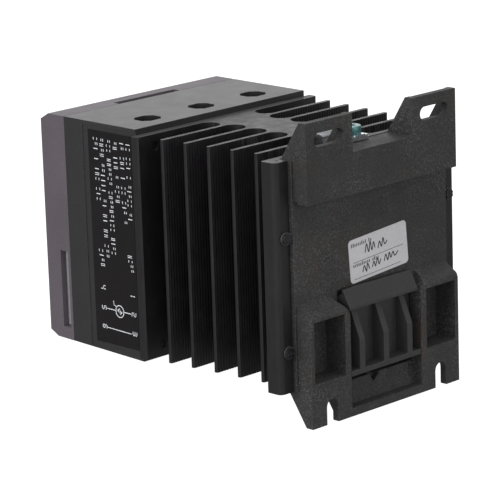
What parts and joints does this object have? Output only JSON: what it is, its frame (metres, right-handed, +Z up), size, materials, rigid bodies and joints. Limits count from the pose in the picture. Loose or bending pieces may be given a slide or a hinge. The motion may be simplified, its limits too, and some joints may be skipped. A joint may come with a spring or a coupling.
{
  "type": "solid state power controller",
  "caption": "Solid state power controller: switching module with covered terminals on a finned black heat sink, with a plastic back plate that clips to a 35 mm rail or screws to a panel.",
  "frame": {"origin": "on the back mounting plane, midway across the width, at half the heat sink's height", "axes": "+X towards the side that carries the printed label, +Y out of the back towards the rail or panel, +Z up"},
  "size_m": [0.0882, 0.1263, 0.1041],
  "materials": {
    "black_anodised": "extruded, anodised black, satin",
    "filled_plastic": "glass-filled black moulding, fine grain",
    "latch_plastic": "smoother dark grey moulding",
    "spring_steel": "drawn wire",
    "zinc_steel": "bright zinc plate",
    "black_steel": "blackened steel",
    "green_screw": "green earth marking",
    "housing_black": "satin black moulding",
    "smoke_cover": "smoky grey moulding, satin",
    "thermal_grey": "soft gap pad",
    "plated_base": "machined",
    "white_ceramic": "fired, matt",
    "silicon": "polished dies",
    "tinned_copper": "bare copper strip",
    "board_green": "solder mask",
    "can_black": "sleeved cans",
    "disc_blue": "dipped discs",
    "chip_black": "moulded packages",
    "chip_resistor": "chip bodies",
    "led_body": "diffused",
    "clear_pipe": "clear moulding",
    "plug_grey": "light grey moulding",
    "label_black": "printed film, white on black",
    "label_white": "written paper label",
    "label_grey": "printed film"
  },
  "bodies": {
    "chassis": {"heat_sink": "black_anodised", "mounting_plate": "filled_plastic", "latch_springs": "spring_steel", "plate_screws": "black_steel", "ground_lug": "zinc_steel", "ground_washer": "zinc_steel", "housing_base": "housing_black", "thermal_pad": "thermal_grey", "module_base": "plated_base", "ceramic_tiles": "white_ceramic", "thyristor_dies": "silicon", "busbars": "tinned_copper", "circuit_board": "board_green", "board_posts": "housing_black", "capacitors": "can_black", "varistors": "disc_blue", "optocouplers": "chip_black", "resistors": "chip_resistor", "status_led": "led_body", "control_header": "plug_grey", "header_pins": "zinc_steel", "housing_screws": "black_steel", "module_screws": "zinc_steel", "side_label": "label_black", "rear_label": "label_white"},
    "latch": {"rail_latch": "latch_plastic"},
    "cover": {"front_cover": "smoke_cover", "front_label": "label_grey", "light_pipe": "clear_pipe"},
    "earth_screw": {"ground_screw": "green_screw"},
    "lug_set_screw": {"lug_screw": "zinc_steel"},
    "plug": {"control_plug": "plug_grey"},
    "clamp_screw_1": {"terminal_screw_1": "zinc_steel"},
    "clamp_1": {"terminal_cage_1": "zinc_steel"},
    "clamp_screw_2": {"terminal_screw_2": "zinc_steel"},
    "clamp_2": {"terminal_cage_2": "zinc_steel"},
    "clamp_screw_3": {"terminal_screw_3": "zinc_steel"},
    "clamp_3": {"terminal_cage_3": "zinc_steel"},
    "clamp_screw_4": {"terminal_screw_4": "zinc_steel"},
    "clamp_4": {"terminal_cage_4": "zinc_steel"},
    "clamp_screw_5": {"terminal_screw_5": "zinc_steel"},
    "clamp_5": {"terminal_cage_5": "zinc_steel"},
    "clamp_screw_6": {"terminal_screw_6": "zinc_steel"},
    "clamp_6": {"terminal_cage_6": "zinc_steel"},
    "plug_clamp_1": {"plug_screw_1": "zinc_steel"},
    "plug_clamp_2": {"plug_screw_2": "zinc_steel"},
    "plug_clamp_3": {"plug_screw_3": "zinc_steel"},
    "plug_clamp_4": {"plug_screw_4": "zinc_steel"},
    "plug_clamp_5": {"plug_screw_5": "zinc_steel"}
  },
  "joints": [
    {"name": "latch_pull", "type": "slide", "parent": "chassis", "child": "latch", "axis": [0, 0, -1], "range_m": [0, 0.003], "stiffness_N_per_m": 1500, "springref_m": -0.003, "deforming": ["latch_springs"]},
    {"name": "cover_pull", "type": "slide", "parent": "chassis", "child": "cover", "axis": [0, -1, 0], "range_m": [0, 0.022]},
    {"name": "plug_pull", "type": "slide", "parent": "chassis", "child": "plug", "axis": [0, -1, 0], "range_m": [0, 0.014]},
    {"name": "earth_screw_turn", "type": "hinge", "parent": "chassis", "child": "earth_screw", "pos_m": [0.0014, -0.0134, 0.043], "axis": [0, 0, 1], "range_deg": [0, 1080]},
    {"name": "lug_screw_turn", "type": "hinge", "parent": "chassis", "child": "lug_set_screw", "pos_m": [0.0157, -0.0155, 0.046], "axis": [0, 0, 1], "range_deg": [0, 720]},
    {"name": "clamp_screw_1_turn", "type": "hinge", "parent": "chassis", "child": "clamp_screw_1", "pos_m": [0.0259, -0.1, 0.03], "axis": [0, 1, 0], "range_deg": [0, 2521]},
    {"name": "clamp_1_rise", "type": "slide", "parent": "chassis", "child": "clamp_1", "axis": [0, -1, 0], "range_m": [0, 0.0056]},
    {"name": "clamp_screw_2_turn", "type": "hinge", "parent": "chassis", "child": "clamp_screw_2", "pos_m": [0, -0.1, 0.03], "axis": [0, 1, 0], "range_deg": [0, 2521]},
    {"name": "clamp_2_rise", "type": "slide", "parent": "chassis", "child": "clamp_2", "axis": [0, -1, 0], "range_m": [0, 0.0056]},
    {"name": "clamp_screw_3_turn", "type": "hinge", "parent": "chassis", "child": "clamp_screw_3", "pos_m": [-0.0259, -0.1, 0.03], "axis": [0, 1, 0], "range_deg": [0, 2521]},
    {"name": "clamp_3_rise", "type": "slide", "parent": "chassis", "child": "clamp_3", "axis": [0, -1, 0], "range_m": [0, 0.0056]},
    {"name": "clamp_screw_4_turn", "type": "hinge", "parent": "chassis", "child": "clamp_screw_4", "pos_m": [0.0259, -0.1, -0.03], "axis": [0, 1, 0], "range_deg": [0, 2521]},
    {"name": "clamp_4_rise", "type": "slide", "parent": "chassis", "child": "clamp_4", "axis": [0, -1, 0], "range_m": [0, 0.0056]},
    {"name": "clamp_screw_5_turn", "type": "hinge", "parent": "chassis", "child": "clamp_screw_5", "pos_m": [0, -0.1, -0.03], "axis": [0, 1, 0], "range_deg": [0, 2521]},
    {"name": "clamp_5_rise", "type": "slide", "parent": "chassis", "child": "clamp_5", "axis": [0, -1, 0], "range_m": [0, 0.0056]},
    {"name": "clamp_screw_6_turn", "type": "hinge", "parent": "chassis", "child": "clamp_screw_6", "pos_m": [-0.0259, -0.1, -0.03], "axis": [0, 1, 0], "range_deg": [0, 2521]},
    {"name": "clamp_6_rise", "type": "slide", "parent": "chassis", "child": "clamp_6", "axis": [0, -1, 0], "range_m": [0, 0.0056]},
    {"name": "plug_screw_1_turn", "type": "hinge", "parent": "plug", "child": "plug_clamp_1", "pos_m": [0.0329, -0.1159, -0.0318], "axis": [0, 1, 0], "range_deg": [0, 720]},
    {"name": "plug_screw_2_turn", "type": "hinge", "parent": "plug", "child": "plug_clamp_2", "pos_m": [0.0329, -0.1159, -0.0268], "axis": [0, 1, 0], "range_deg": [0, 720]},
    {"name": "plug_screw_3_turn", "type": "hinge", "parent": "plug", "child": "plug_clamp_3", "pos_m": [0.0329, -0.1159, -0.0218], "axis": [0, 1, 0], "range_deg": [0, 720]},
    {"name": "plug_screw_4_turn", "type": "hinge", "parent": "plug", "child": "plug_clamp_4", "pos_m": [0.0329, -0.1159, -0.0168], "axis": [0, 1, 0], "range_deg": [0, 720]},
    {"name": "plug_screw_5_turn", "type": "hinge", "parent": "plug", "child": "plug_clamp_5", "pos_m": [0.0329, -0.1159, -0.0118], "axis": [0, 1, 0], "range_deg": [0, 720]}
  ],
  "couplings": [
    {"joint": "clamp_screw_1_turn", "follows": "clamp_1_rise", "rad_per_m": 7854},
    {"joint": "clamp_screw_2_turn", "follows": "clamp_2_rise", "rad_per_m": 7854},
    {"joint": "clamp_screw_3_turn", "follows": "clamp_3_rise", "rad_per_m": 7854},
    {"joint": "clamp_screw_4_turn", "follows": "clamp_4_rise", "rad_per_m": 7854},
    {"joint": "clamp_screw_5_turn", "follows": "clamp_5_rise", "rad_per_m": 7854},
    {"joint": "clamp_screw_6_turn", "follows": "clamp_6_rise", "rad_per_m": 7854}
  ]
}
